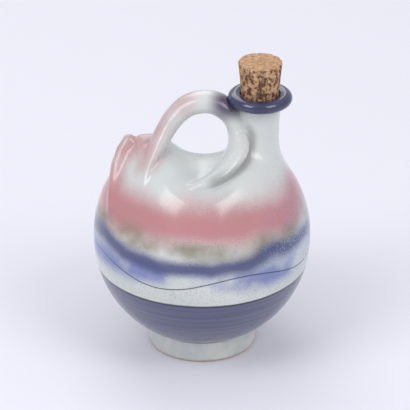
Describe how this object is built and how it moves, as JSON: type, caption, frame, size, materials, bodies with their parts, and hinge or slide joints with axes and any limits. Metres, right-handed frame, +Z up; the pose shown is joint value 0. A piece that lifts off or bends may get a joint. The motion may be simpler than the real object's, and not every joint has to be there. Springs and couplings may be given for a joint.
{
  "type": "ceramic carafe",
  "caption": "Round-bellied glazed carafe with a strap handle over a finger loop, an offset neck with a rolled lip, a foot ring and a tapered cork.",
  "frame": {"origin": "on the floor under the middle of the foot ring", "axes": "+Z up, +X towards the neck, front of the pot towards -Y"},
  "size_m": [0.15, 0.1498, 0.2123],
  "materials": {
    "glazed_belly": "pale grey-green gloss glaze with soft sprayed rose, cobalt and olive bands and a grey-blue dip round the bottom",
    "glazed_foot": "off-white gloss glaze with a bare pinkish bottom edge",
    "glazed_neck": "pale grey-green gloss glaze",
    "glazed_lip": "dark blue gloss glaze",
    "glazed_handle": "pale gloss glaze with a rose blush",
    "glazed_folds": "pale gloss glaze with a rose blush",
    "cork": "matte agglomerate cork with dark pits"
  },
  "bodies": {
    "pot": {"body": "glazed_belly", "foot_ring": "glazed_foot", "neck": "glazed_neck", "lip_ring": "glazed_lip", "strap_handle": "glazed_handle", "root_fold": "glazed_folds"},
    "cork": {"cork_stopper": "cork"}
  },
  "joints": [
    {"name": "cork_lift", "type": "slide", "parent": "pot", "child": "cork", "axis": [0, 0, 1], "range_m": [0, 0.03]}
  ]
}
